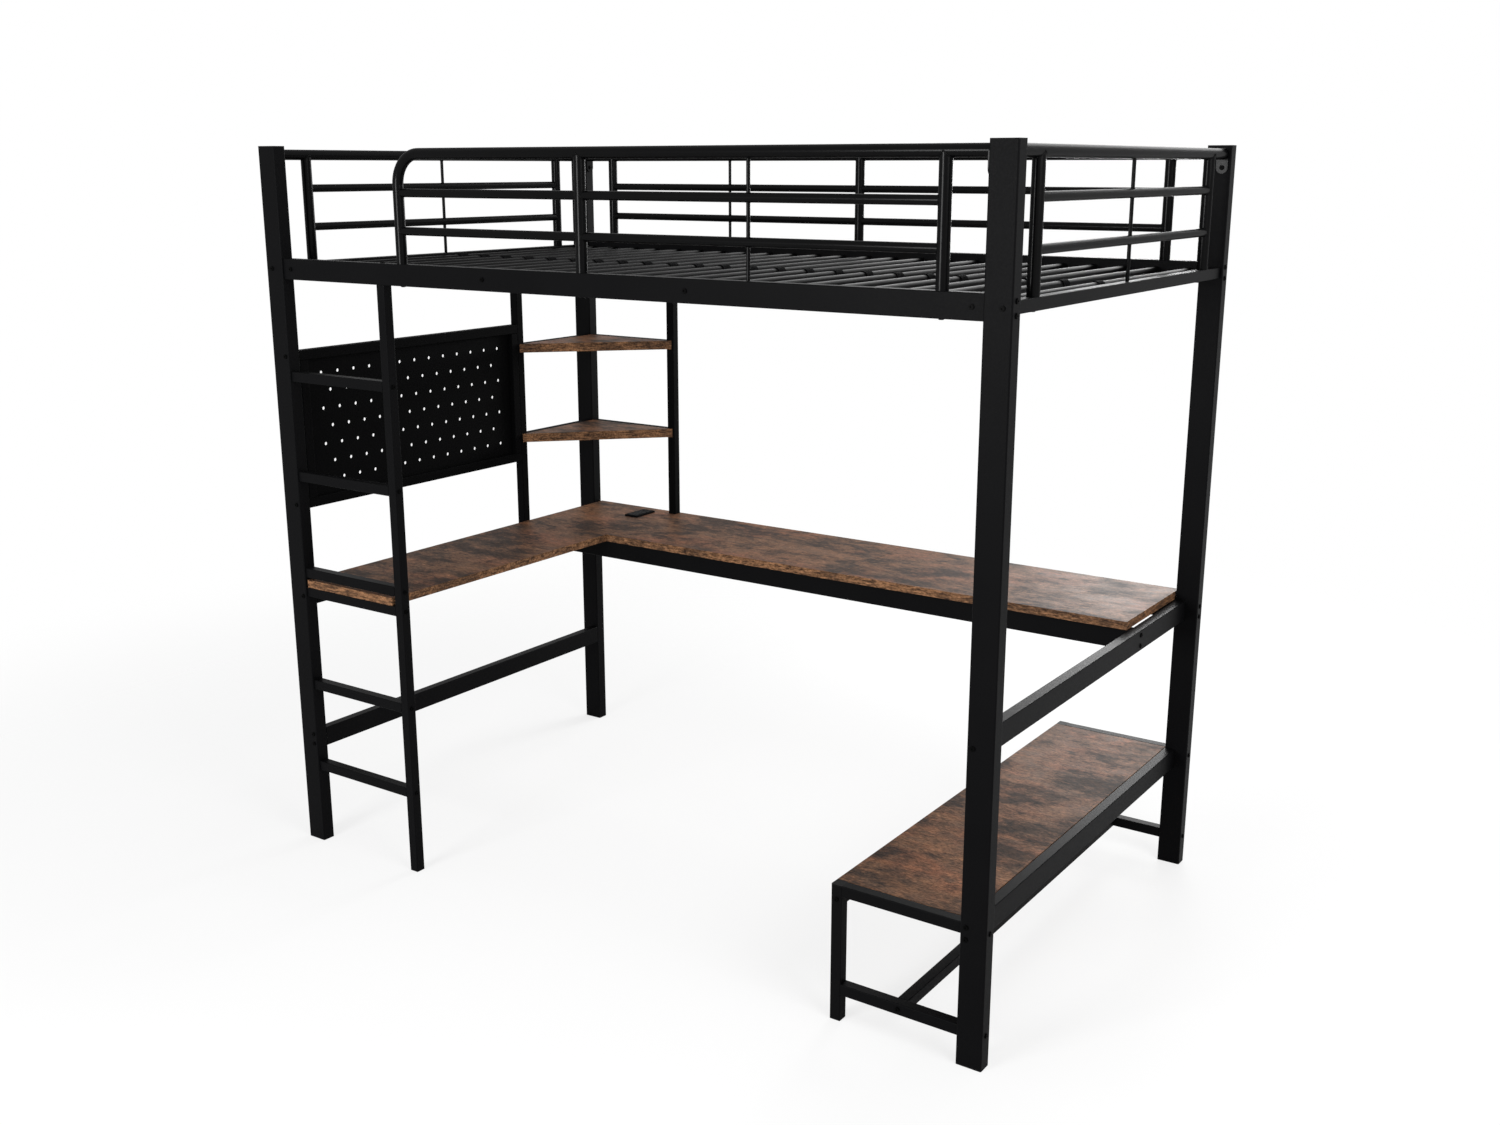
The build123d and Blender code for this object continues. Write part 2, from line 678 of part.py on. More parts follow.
with BuildPart() as left_upright:
    square_tube("Z", desk_under, end_top, [(-low_rail_x, left_upright_y)], bar, bar)
    square_tube("Y", left_upright_y + bar / 2 + weld_gap, post_in_y,
                [(z, -low_rail_x) for z in shelf_mids], bar, bar)
    bolt_holes("X", -low_rail_out_x - 1, -post_in_x + 1, [(left_upright_y, bed_level)])
    bolt_holes("Y", left_upright_y - bar, left_upright_y + bar / 2 + weld_gap / 2,
               [(z, -low_rail_x) for z in peg_pair])
    screw_holes("X", -low_rail_out_x - 1, -post_in_x + 1, left_arm_screws)
finish(left_upright, "left_upright")

with BuildPart() as back_upright:
    square_tube("Z", desk_top, bed_bottom, [(back_upright_x, side_y)], bar, bar)
    square_tube("X", -post_in_x, back_upright_x - bar / 2 - weld_gap,
                [(side_y, z) for z in shelf_mids], bar, bar)
    screw_holes("Y", rail_in_y - 1, rail_out_y + 1, back_arm_screws)
finish(back_upright, "back_upright")


# Corner shelves.
shelf_left_y = left_upright_y + bar / 2 - shelf_lap
shelf_right_x = back_upright_x - bar / 2 + shelf_lap

for name, top in zip(("shelf_upper", "shelf_lower"), shelf_tops):
    with BuildPart() as shelf:
        with BuildSketch(station("Z", top - shelf_board)) as outline:
            with BuildLine():
                Polyline((-post_in_x, shelf_left_y), (shelf_right_x, rail_in_y),
                         (-post_in_x, rail_in_y), close=True)
            make_face()
        extrude(outline.sketch, amount=shelf_board)
        middle = top - shelf_board / 2
        pilot_holes(-post_in_x - 1, -post_in_x + screw_grip, [(y, middle) for y in left_screw_ys], "X")
        pilot_holes(rail_in_y - screw_grip, rail_in_y + 1, [(middle, x) for x in back_screw_xs], "Y")
    finish(shelf, name)


# Pegboard.
peg_inside = (-post_in_y + bar, peg_back_y - bar)
peg_sides = [(-low_rail_x, -post_in_y + bar / 2), (-low_rail_x, peg_back_y - bar / 2)]

with BuildPart() as pegboard_frame:
    square_tube("Y", -post_in_y, peg_back_y, [(z, -low_rail_x) for z in peg_pair], bar, bar)
    square_tube("Z", peg_bottom + bar + weld_gap, peg_top - bar - weld_gap, peg_sides, bar, bar)
finish(pegboard_frame, "pegboard_frame")

peg_face_x = -post_in_x - peg_recess
peg_mid_y = (peg_inside[0] + peg_inside[1]) / 2
peg_mid_z = (peg_bottom + peg_top) / 2
peg_spots = []
for row in range(peg_rows):
    count = peg_columns - row % 2
    z = peg_mid_z + ((peg_rows - 1) / 2 - row) * peg_row_pitch
    peg_spots += [(peg_mid_y + (i - (count - 1) / 2) * peg_pitch, z) for i in range(count)]

with BuildPart() as pegboard_panel:
    with BuildSketch(station("X", peg_face_x - peg_sheet)) as sheet:
        with Locations((peg_mid_y, peg_mid_z)):
            Rectangle(peg_inside[1] - peg_inside[0], peg_height - 2 * bar)
        with Locations(*peg_spots):
            Circle(peg_hole / 2, mode=Mode.SUBTRACT)
    extrude(sheet.sketch, amount=peg_sheet)
finish(pegboard_panel, "pegboard_panel")


# Low rail at the ladder end.
with BuildPart() as left_low_rail:
    square_tube("Y", -post_in_y, post_in_y, [(bench_low_level, -low_rail_x)], rail_height, bar)
finish(left_low_rail, "left_low_rail")


# Bench.
cleat_ys = (-cleat_spread, 0.0, cleat_spread)
inner_screws = [(bench_leg_x, y) for y in cleat_ys]
cleat_screws = [(post_in_x - cleat_reach / 2, y) for y in cleat_ys]

with BuildPart() as bench_legs:
    spots = [(bench_leg_x, -side_y), (bench_leg_x, side_y)]
    square_tube("Z", cap_flange, bench_top - cap_flange, spots, bar, bar)
    leg_rows = [(sy * side_y, z) for sy in (-1, 1) for z in (bench_bolt_level, stretcher_level)]
    bolt_holes("X", bench_leg_in - 1, bench_leg_out + 1, leg_rows)
    bolt_holes("Y", -rail_out_y - 1, -rail_in_y + 1, [(bench_inner_level, bench_leg_x)])
    bolt_holes("Y", rail_in_y - 1, rail_out_y + 1, [(bench_inner_level, bench_leg_x)])
finish(bench_legs, "bench_legs")

with BuildPart() as bench_leg_caps:
    rounded_bar("Z", bench_top - cap_flange, bench_top, leg_spots[1:], bar, bar, tube_corner)
    rounded_bar("Z", bench_top - cap_flange - bench_cap_plug, bench_top - cap_flange, leg_spots[1:],
                bar_plug, bar_plug, tube_corner - tube_wall)
finish(bench_leg_caps, "bench_leg_caps")

for sy, name in ((-1, "bench_front_rail"), (1, "bench_back_rail")):
    with BuildPart() as bench_short_rail:
        square_tube("X", bench_leg_out, post_in_x, [(sy * side_y, bench_rail_level)], bar, bar)
    finish(bench_short_rail, name)

with BuildPart() as bench_inner_rail:
    square_tube("Y", -rail_in_y, rail_in_y, [(bench_inner_level, bench_leg_x)], bar, bar)
    screw_holes("Z", bench_under - bar - 1, bench_under + 1, inner_screws)
finish(bench_inner_rail, "bench_inner_rail")

with BuildPart() as bench_outer_rail:
    square_tube("Y", -post_in_y, post_in_y, [(bench_low_level, low_rail_x)], rail_height, bar)
finish(bench_outer_rail, "bench_outer_rail")

with BuildPart() as bench_short_stretchers:
    square_tube("X", bench_leg_out, post_in_x, [(sy * side_y, stretcher_level) for sy in (-1, 1)],
                bar, bar)
    for low, high in ((-rail_out_y - 1, -rail_in_y + 1), (rail_in_y - 1, rail_out_y + 1)):
        bolt_holes("Y", low, high, [(stretcher_level, bench_mid_x)])
finish(bench_short_stretchers, "bench_short_stretchers")

with BuildPart() as bench_long_stretcher:
    square_tube("Y", -rail_in_y, rail_in_y, [(stretcher_level, bench_mid_x)], bar, bar)
finish(bench_long_stretcher, "bench_long_stretcher")

with BuildPart() as bench_board:
    slab(bench_leg_in, post_in_x - bench_board_gap, -rail_in_y + bench_board_gap,
         rail_in_y - bench_board_gap, bench_under, bench_top)
    pilot_holes(bench_under - 1, bench_under + screw_grip, inner_screws + cleat_screws)
finish(bench_board, "bench_board")

with BuildPart() as bench_cleats:
    for y in cleat_ys:
        slab(post_in_x - cleat_reach, post_in_x, y - cleat_length / 2, y + cleat_length / 2,
             bench_under - cleat_sheet, bench_under)
        slab(post_in_x - cleat_sheet, post_in_x, y - cleat_length / 2, y + cleat_length / 2,
             bench_under - cleat_drop, bench_under)
    screw_holes("Z", bench_under - cleat_sheet - 1, bench_under + 1, cleat_screws)
finish(bench_cleats, "bench_cleats")


# Threaded blocks inside the tube ends.
with BuildPart() as rail_end_blocks:
    for sy in (-1, 1):
        for face, inward in ((-post_in_x, 1), (post_in_x, -1)):
            end_blocks("X", face, inward, [(sy * side_y, bed_level)], rail_height,
                       [(sy * side_y, z) for z in bed_pair])
    for y in (side_y, front_rail_y):
        for face, inward in ((-post_in_x, 1), (post_in_x, -1)):
            end_blocks("X", face, inward, [(y, desk_rail_level)], rail_height,
                       [(y, z) for z in desk_pair])
    for face, inward in ((-post_in_y, 1), (post_in_y, -1)):
        for x, level, rows in (
            (-low_rail_x, desk_rail_level, (desk_rail_level,)),
            (low_rail_x, desk_rail_level, (desk_rail_level,)),
            (-low_rail_x, bench_low_level, low_pair),
            (low_rail_x, bench_low_level, bench_pair),
        ):
            end_blocks("Y", face, inward, [(level, x)], rail_height, [(z, x) for z in rows])
    rod("Y", -rail_out_y, rail_out_y, [(bed_level, slat_xs[0]), (bed_level, slat_xs[-1])],
        slat_tube + 2 * slide_gap, Mode.SUBTRACT)
finish(rail_end_blocks, "rail_end_blocks")

with BuildPart() as bar_end_blocks:
    rung_spots = [(-side_y, z) for z in rung_bolts]
    for face, inward in ((-post_in_x, 1), (leg_left, -1)):
        end_blocks("X", face, inward, rung_spots, bar, rung_spots)
    short_spots = [(sy * side_y, z) for sy in (-1, 1) for z in (bench_rail_level, stretcher_level)]
    short_bores = [(sy * side_y, z) for sy in (-1, 1) for z in (bench_bolt_level, stretcher_level)]
    for face, inward in ((bench_leg_out, 1), (post_in_x, -1)):
        end_blocks("X", face, inward, short_spots, bar, short_bores)
    end_spots = [bed_end_left, bed_end_right]
    for face, inward in ((-post_in_y, 1), (post_in_y, -1)):
        end_blocks("Y", face, inward, end_spots, bar, end_spots)
    peg_ends = [(z, -low_rail_x) for z in peg_pair]
    for face, inward in ((-post_in_y, 1), (peg_back_y, -1)):
        end_blocks("Y", face, inward, peg_ends, bar, peg_ends)
    inner_spots = [(bench_inner_level, bench_leg_x), (stretcher_level, bench_mid_x)]
    for face, inward in ((-rail_in_y, 1), (rail_in_y, -1)):
        end_blocks("Y", face, inward, inner_spots, bar, inner_spots)
    for middle, x_bolt, y_bolt in zip(shelf_mids, arm_x_bolts, arm_y_bolts):
        end_blocks("X", -post_in_x, 1, [(side_y, middle)], bar, [(side_y, x_bolt)])
        end_blocks("Y", post_in_y, -1, [(middle, -low_rail_x)], bar, [(y_bolt, -low_rail_x)])
    end_blocks("Z", desk_under, 1, [(-low_rail_x, left_upright_y)], bar, [(-low_rail_x, left_upright_y)])
    end_blocks("Z", desk_top, 1, [(back_upright_x, side_y)], bar, [(back_upright_x, side_y)])
    hung = [(leg_x, -side_y), (back_upright_x, side_y)]
    end_blocks("Z", bed_bottom, -1, hung, bar, hung)
finish(bar_end_blocks, "bar_end_blocks")


# Bolts, nuts and screws.
with BuildPart() as long_post_bolts:
    length = post_width + post_grip
    left_rows = [(sy * side_y, z) for sy in (-1, 1) for z in bed_pair]
    left_rows += [(-side_y, z) for z in rung_bolts]
    left_rows += [(side_y, z) for z in desk_pair + arm_x_bolts]
    bolts("X", -half_length, 1, left_rows, length)
    right_rows = [(sy * side_y, z) for sy in (-1, 1) for z in bed_pair + (bench_bolt_level, stretcher_level)]
    right_rows += [(side_y, z) for z in desk_pair]
    bolts("X", half_length, -1, right_rows, length)
finish(long_post_bolts, "long_post_bolts")

with BuildPart() as short_post_bolts:
    length = post_depth + post_grip
    both = [bed_end_left, bed_end_right, (desk_rail_level, -low_rail_x), (desk_rail_level, low_rail_x)]
    both += [(z, -low_rail_x) for z in low_pair] + [(z, low_rail_x) for z in bench_pair]
    bolts("Y", -half_depth, 1, both + [(z, -low_rail_x) for z in peg_pair], length)
    bolts("Y", half_depth, -1, both + [(z, -low_rail_x) for z in arm_y_bolts], length)
finish(short_post_bolts, "short_post_bolts")

with BuildPart() as bar_bolts:
    length = bar + post_grip
    bolts("X", leg_right, -1, [(-side_y, z) for z in rung_bolts], length)
    bolts("X", bench_leg_in, 1, leg_rows, length)
    bolts("X", -low_rail_out_x, 1, tie_pair, length)
    bolts("X", low_rail_out_x, -1, tie_pair, length)
    bolts("Y", -rail_out_y, 1, inner_spots, length)
    bolts("Y", rail_out_y, -1, inner_spots, length)
    bolts("Y", left_upright_y + bar / 2, -1, peg_ends, length)
    slat_bolt = rail_out_y - slat_end + slat_plug - 2
    bolts("Y", -rail_out_y, 1, plug_spots, slat_bolt)
    bolts("Y", rail_out_y, -1, plug_spots, slat_bolt)
    bolts("X", -end_rail_out_x, 1, [(left_upright_y, bed_level)], 2 * bar + nut_height)
finish(bar_bolts, "bar_bolts")

with BuildPart() as rail_bolts:
    bolts("Z", bed_bottom, 1, side_feet, rail_height + post_grip)
    bolts("Z", bed_top, -1, hung, rail_height + post_grip)
    bolts("Z", end_bottom, 1, end_feet, bar + post_grip)
    bolts("Z", desk_rail_under, 1, [(-low_rail_x, left_upright_y)], rail_height + post_grip)
    bolts("Z", desk_rail_under, 1, [(back_upright_x, side_y)], rail_height + desk_board + post_grip)
finish(rail_bolts, "rail_bolts")

plate_length = guard_plate + post_wall + nut_height
x_plates = [(side_y, guard_plate_level)]
y_plates = [plate_left, plate_right]

with BuildPart() as plate_bolts:
    bolts("X", plate_x, 1, x_plates + [(-side_y, guard_plate_level)], plate_length)
    bolts("X", -plate_x, -1, x_plates, plate_length)
    bolts("Y", plate_y, 1, y_plates, plate_length)
    bolts("Y", -plate_y, -1, y_plates, plate_length)
finish(plate_bolts, "plate_bolts")

with BuildPart() as plate_nuts:
    nuts("X", post_in_x + post_wall, x_plates + [(-side_y, guard_plate_level)])
    nuts("X", -post_in_x - post_wall - nut_height, x_plates)
    nuts("Y", post_in_y + post_wall, y_plates)
    nuts("Y", -post_in_y - post_wall - nut_height, y_plates)
    nuts("X", -post_in_x, [(left_upright_y, bed_level)])
finish(plate_nuts, "plate_nuts")

with BuildPart() as board_screws:
    screws("Z", desk_rail_under, 1, front_screws + back_screws, rail_height + screw_grip - 1)
    screws("Z", desk_under - bar, 1, bar_screws, bar + screw_grip - 1)
    screws("Z", bench_under - bar, 1, inner_screws, bar + screw_grip - 1)
    screws("Z", bench_under - cleat_sheet, 1, cleat_screws, cleat_sheet + screw_grip - 1)
    screws("X", -low_rail_out_x, 1, left_arm_screws, bar + screw_grip - 1)
    screws("Y", rail_out_y, -1, back_arm_screws, bar + screw_grip - 1)
finish(board_screws, "board_screws")
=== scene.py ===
"""Looks of a metal loft bed with a desk, corner shelves, pegboard, ladder and bench."""

import math

import bmesh
import bpy
from bpy.props import FloatProperty, FloatVectorProperty, PointerProperty
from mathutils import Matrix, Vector


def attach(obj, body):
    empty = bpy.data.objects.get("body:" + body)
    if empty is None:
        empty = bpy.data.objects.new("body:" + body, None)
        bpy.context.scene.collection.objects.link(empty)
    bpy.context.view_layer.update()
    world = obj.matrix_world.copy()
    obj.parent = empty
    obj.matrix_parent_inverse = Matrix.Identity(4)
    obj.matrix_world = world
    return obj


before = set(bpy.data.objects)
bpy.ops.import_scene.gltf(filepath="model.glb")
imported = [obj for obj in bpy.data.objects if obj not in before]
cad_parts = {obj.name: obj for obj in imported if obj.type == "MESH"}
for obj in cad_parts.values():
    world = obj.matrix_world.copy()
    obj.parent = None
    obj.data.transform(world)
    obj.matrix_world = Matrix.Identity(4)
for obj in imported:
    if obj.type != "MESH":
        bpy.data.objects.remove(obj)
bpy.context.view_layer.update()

bl_info = {
    "name": "Loft bed with desk",
    "version": (1, 0, 0),
    "blender": (4, 5, 0),
    "location": "3D View > Sidebar > Loft bed",
    "description": "Finishes, weld beads and stage for a metal loft bed with a desk under it",
    "category": "Object",
}

# Nodes of the frame, grouped by finish.
COATED_FRAME = (
    "post_front_left", "post_front_right", "post_back_left", "post_back_right",
    "front_side_rail", "back_side_rail", "left_end_rail", "right_end_rail",
    "ladder_leg", "ladder_rungs",
    "desk_end_bar", "desk_left_rail", "desk_right_rail", "desk_back_rail", "desk_front_rail",
    "left_low_rail",
    "bench_legs", "bench_front_rail", "bench_back_rail", "bench_inner_rail", "bench_outer_rail",
    "bench_short_stretchers", "bench_long_stretcher", "bench_cleats",
)
GUARDRAILS = ("back_guardrail", "front_guardrail", "left_guardrail", "right_guardrail")
DESK_WALL = ("pegboard_frame", "pegboard_panel", "left_upright", "back_upright")
BOARDS = (
    "desk_return_board", "desk_board_left", "desk_board_right",
    "shelf_upper", "shelf_lower", "bench_board",
)
MOULDINGS = ("post_top_caps", "post_feet", "leg_feet", "bench_leg_caps")
BLACK_FASTENERS = (
    "long_post_bolts", "short_post_bolts", "bar_bolts", "rail_bolts", "plate_bolts",
    "board_screws",
)
PLATED_STEEL = ("rail_end_blocks", "bar_end_blocks", "guard_plugs", "slat_plugs", "plate_nuts")

# Lamps of the stage: name, setting of its power, place, point that it faces, width and height.
LAMPS = (
    ("key_lamp", "key", (3.4, -1.2, 2.7), (0.3, 0.0, 0.7), 2.0, 2.0),
    ("back_lamp", "back", (-0.1, 3.6, 3.0), (0.3, 0.0, 1.2), 3.0, 1.8),
    ("low_lamp", "low", (-0.15, 3.6, 1.55), (0.8, 0.3, 0.4), 1.0, 0.7),
    ("front_lamp", "front", (-0.6, -4.4, 1.7), (0.2, 0.0, 1.0), 1.4, 1.4),
)

# Camera fitted to the photograph: place in metres, tilt and turn in degrees, film width in mm.
CAMERA_PLACE = (2.1525, -3.0907, 1.7430)
CAMERA_TILT = 14.382
CAMERA_TURN = 34.400
FILM_WIDTH = 36.0

# Floor in metres: its reach, its gap under the feet, and where it fades into the white surround.
FLOOR_REACH = 9.0
FLOOR_GAP = 0.0006
FADE_START = 1.6
FADE_END = 3.6

WHITE = (1.0, 1.0, 1.0, 1.0)


def linear(code):
    """sRGB hex value as linear red, green, blue and alpha."""
    parts = [int(code[i:i + 2], 16) / 255 for i in (1, 3, 5)]
    tones = [c / 12.92 if c <= 0.04045 else ((c + 0.055) / 1.055) ** 2.4 for c in parts]
    return (*tones, 1.0)


def colour(label, words, code):
    """Colour setting that a user may change."""
    return FloatVectorProperty(name=label, description=words, subtype="COLOR", size=4,
                               min=0.0, max=1.0, default=linear(code))


def length(label, words, millimetres):
    """Length setting, written in millimetres and kept in metres."""
    return FloatProperty(name=label, description=words, unit="LENGTH", subtype="DISTANCE",
                         min=0.00001, default=millimetres / 1000)


def share(label, words, value):
    """Setting between nought and one."""
    return FloatProperty(name=label, description=words, subtype="FACTOR", min=0.0, max=1.0,
                         default=value)


def power(label, words, watts):
    """Power setting of a lamp."""
    return FloatProperty(name=label, description=words, unit="POWER", min=0.0, default=watts)


class LoftBedCoat(bpy.types.PropertyGroup):
    """Black powder coat of the steel tubes."""
    dark: colour("Coat", "Main colour of the powder coat", "#060607")
    pale: colour("Coat, thin", "Colour where the powder lies thin", "#0b0b0c")
    # Painted shade: this darkest colour makes darker copies of the same coat for the guardrails,
    # slats, pegboard and uprights.
    matte: colour("Coat, darkest", "Colour where the coat is darkest", "#020202")
    roughness: share("Roughness", "Roughness of the satin coat", 0.45)
    slat_roughness: share("Slat roughness", "Roughness of the coat on the slats", 0.33)
    matte_roughness: share("Matte roughness", "Roughness of the coat above the desk", 0.7)
    shine: share("Shine", "Strength of the coat's reflection", 0.03)
    slat_shine: share("Slat shine", "Strength of the slats' reflection", 0.026)
    tube_shine: share("Tube shine", "Strength of the reflection under the tubes' skin", 0.012)
    skin: share("Skin", "Strength of the smooth skin on the round tubes", 0.11)
    skin_roughness: share("Skin roughness", "Roughness of the skin on the round tubes", 0.17)
    peel: length("Orange peel", "Spacing of the dimples that the melted powder leaves", 2.2)
    drift: length("Drift", "Size of the faint cloudy changes of tone", 160.0)


class LoftBedBoard(bpy.types.PropertyGroup):
    """Rustic brown printed laminate on chipboard."""
    light: colour("Light grain", "Lightest brown of the print", "#845d42")
    middle: colour("Middle grain", "Main brown of the print", "#5c402f")
    glow: colour("Glow", "Orange brown of the warm places", "#8a5239")
    smoke: colour("Smoke", "Dark grey-brown of the smoky patches", "#2b231f")
    veil: colour("Veil", "Dull brown that lies over parts of the print", "#4b3d32")
    crack: colour("Cracks", "Colour of the printed cracks and knots", "#120e0c")
    edge: colour("Edge band", "Light brown of the edge band", "#8e6749")
    streak: colour("Edge streaks", "Dark brown of the streaks in the edge band", "#35261d")
    grain_long: length("Grain length", "Length of a streak of the grain", 34.0)
    grain_wide: length("Grain width", "Width of a streak of the grain", 9.0)
    patch_long: length("Patch length", "Length of a smoky patch", 165.0)
    patch_wide: length("Patch width", "Width of a smoky patch", 95.0)
    smudge_long: length("Smudge length", "Length of a small dark smudge", 36.0)
    smudge_wide: length("Smudge width", "Width of a small dark smudge", 16.0)
    plank_long: length("Plank length", "Length of a printed plank", 310.0)
    plank_wide: length("Plank width", "Width of a printed plank", 62.0)
    plank_joint: length("Plank joint", "Width of the dark line between planks", 0.8)
    fleck: length("Fleck", "Width of the fine printed flecks", 4.2)
    streak_long: length("Streak length", "Length of a streak in the edge band", 30.0)
    streak_high: length("Streak height", "Height of a streak in the edge band", 5.0)
    knot: length("Knot", "Spacing of the printed knots", 130.0)
    roughness: share("Roughness", "Roughness of the melamine face", 0.54)
    shine: share("Shine", "Strength of the melamine's reflection", 0.05)


class LoftBedMouldings(bpy.types.PropertyGroup):
    """Moulded plastic caps, feet, sleeves and outlet."""
    body: colour("Plastic", "Colour of the caps, feet, sleeves and outlet", "#0a0a0b")
    insert: colour("Outlet insert", "Colour of the outlet's inserts", "#111112")
    grit: length("Grit", "Spacing of the fine texture of the mould", 0.9)


class LoftBedFasteners(bpy.types.PropertyGroup):
    """Bolts, screws and what they thread into."""
    black: colour("Black bolt", "Colour of the blackened bolts and screws", "#050505")
    zinc: colour("Zinc", "Colour of the zinc plated steel", "#a9a9a4")


class LoftBedWelds(bpy.types.PropertyGroup):
    """Weld beads of the guardrails."""
    bead: length("Bead", "Radius of the bead round a middle rail", 1.3)
    ripple: length("Ripple", "Spacing of the ripples along a bead", 2.2)
    swell: share("Swell", "How much a ripple stands out from its bead", 0.14)


class LoftBedStage(bpy.types.PropertyGroup):
    """Floor, light and camera."""
    floor: colour("Floor", "Colour of the floor", "#f2f2f2")
    sky: FloatProperty(name="Surround", description="Strength of the soft surround light",
                       min=0.0, default=0.4)
    key: power("Key lamp", "Power of the main lamp", 90.0)
    back: power("Back lamp", "Power of the lamp behind", 66.0)
    low: power("Low lamp", "Power of the small lamp low behind", 47.0)
    front: power("Front lamp", "Power of the lamp in front", 132.0)
    shadow: share("Shadow", "How much of the bed's shadow the floor shows", 0.25)
    lens: FloatProperty(name="Lens", description="Focal length of the camera in millimetres",
                        min=1.0, default=37.046)


def add(tree, kind, inputs=None, **settings):
    """Add a node with its settings; an input takes a value or another node's output."""
    made = tree.nodes.new(kind)
    for name, value in settings.items():
        setattr(made, name, value)
    for name, value in (inputs or {}).items():
        if isinstance(value, bpy.types.NodeSocket):
            tree.links.new(value, made.inputs[name])
        else:
            made.inputs[name].default_value = value
    return made


def new_material(name):
    """Empty node material and its tree."""
    material = bpy.data.materials.new(name)
    material.use_nodes = True
    material.node_tree.nodes.clear()
    return material, material.node_tree


def close_material(tree, shader):
    """Send a shader to the material's surface."""
    add(tree, "ShaderNodeOutputMaterial", {"Surface": shader.outputs[0]})


def dress(names, material):
    """Give one material to nodes of the frame."""
    for name in names:
        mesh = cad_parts[name].data
        mesh.materials.clear()
        mesh.materials.append(material)


def settings():
    """The bed's own settings."""
    return bpy.context.scene.loft_bed


def noise(tree, spot, size, detail):
    """Noise whose spots are about one size."""
    return add(tree, "ShaderNodeTexNoise", {
        "Vector": spot, "Scale": 1 / size, "Detail": detail}).outputs[0]


def uneven_gloss(tree, pattern, roughness, smoother, rougher):
    """Roughness that follows a noise, most of whose values lie between low and high."""
    low, high = 0.3, 0.7
    return add(tree, "ShaderNodeMapRange", {
        "Value": pattern, "From Min": low, "From Max": high,
        "To Min": roughness - smoother, "To Max": roughness + rougher}).outputs[0]


def powder_coat(name, coat, dark, pale, roughness, shine, skin=0.0):
    """Polyester powder coat on steel, melted into a satin film: near black, dimpled and cloudy.

    A skin above 0 is the smoother top of the coat on round tube, which draws lines of light."""
    dimple_deep = 0.00012
    material, tree = new_material(name)
    spot = add(tree, "ShaderNodeTexCoord").outputs["Object"]
    cloud = noise(tree, spot, coat.drift, detail=3.0)
    peel = noise(tree, spot, coat.peel, detail=2.0)
    tone = add(tree, "ShaderNodeMix", {"Factor": cloud, "A": dark, "B": pale}, data_type="RGBA")
    gloss = uneven_gloss(tree, peel, roughness, smoother=0.05, rougher=0.06)
    dimple = add(tree, "ShaderNodeBump", {
        "Height": peel, "Strength": 0.35, "Distance": dimple_deep}).outputs[0]
    shader = add(tree, "ShaderNodeBsdfPrincipled", {
        "Base Color": tone.outputs["Result"], "Roughness": gloss, "Normal": dimple,
        "Specular IOR Level": shine, "Coat Weight": skin, "Coat Roughness": coat.skin_roughness,
        "Coat Normal": dimple})
    close_material(tree, shader)
    return material


class LOFTBED_OT_coat_frame(bpy.types.Operator):
    """Powder coat the square tubes of the frame"""
    bl_idname = "loftbed.coat_frame"
    bl_label = "Coat the frame"

    def execute(self, context):
        coat = settings().coat
        dress(COATED_FRAME, powder_coat("black_powder_coat_on_steel", coat, coat.dark, coat.pale,
                                        coat.roughness, coat.shine))
        return {"FINISHED"}


class LOFTBED_OT_coat_guardrails(bpy.types.Operator):
    """Powder coat the guardrails, whose round tubes show lines of light, painted darker for the
    shade on the tubes' sides
    """
    bl_idname = "loftbed.coat_guardrails"
    bl_label = "Coat the guardrails"

    def execute(self, context):
        coat = settings().coat
        # Painted shade: the round tubes take the darkest coat colour, which stands in for the shade
        # on their sides and rims.
        dress(GUARDRAILS, powder_coat("black_powder_coat_on_round_tube", coat, coat.matte,
                                      coat.dark, coat.roughness, coat.tube_shine, coat.skin))
        return {"FINISHED"}


class LOFTBED_OT_coat_slats(bpy.types.Operator):
    """Powder coat the slats, smoother than the frame and painted darker for the shade in the gaps
    between them
    """
    bl_idname = "loftbed.coat_slats"
    bl_label = "Coat the slats"

    def execute(self, context):
        coat = settings().coat
        # Painted shade: the slats take the darkest coat colour, which stands in for the shade
        # between and under them.
        dress(("bed_slats",), powder_coat("black_powder_coat_on_slat", coat, coat.matte, coat.dark,
                                          coat.slat_roughness, coat.slat_shine))
        return {"FINISHED"}


class LOFTBED_OT_coat_desk_wall(bpy.types.Operator):
    """Powder coat the pegboard and shelf uprights, more matte than the frame and painted darker for
    the shade under the bed
    """
    bl_idname = "loftbed.coat_desk_wall"
    bl_label = "Coat the pegboard and uprights"

    def execute(self, context):
        coat = settings().coat
        # Painted shade: the darkest coat colour stands in for the shade that the bed casts on the
        # pegboard and uprights.
        dress(DESK_WALL, powder_coat("black_matte_powder_coat", coat, coat.matte, coat.dark,
                                     coat.matte_roughness, coat.shine))
        return {"FINISHED"}


def straight_tubes(mesh):
    """Straight round tubes of a guardrail: each one's axis, middle, radius and two ends."""
    same_point, round_enough = 0.00001, 0.0004
    shell = bmesh.new()
    shell.from_mesh(mesh)
    bmesh.ops.remove_doubles(shell, verts=shell.verts, dist=same_point)
    shell.verts.index_update()
    seen, tubes = set(), []
    for first in shell.verts:
        if first.index in seen:
            continue
        seen.add(first.index)
        queue, points = [first], []
        while queue:
            corner = queue.pop()
            points.append(corner.co.copy())
            for line in corner.link_edges:
                other = line.other_vert(corner)
                if other.index not in seen:
                    seen.add(other.index)
                    queue.append(other)
        low = Vector([min(point[i] for point in points) for i in range(3)])
        high = Vector([max(point[i] for point in points) for i in range(3)])
        span = high - low
        run = max(range(3), key=lambda i: span[i])
        one, two = [span[i] for i in range(3) if i != run]
        if abs(one - two) < round_enough:
            tubes.append((run, (low + high) / 2, one / 2, (low[run], high[run])))
    shell.free()
    return tubes


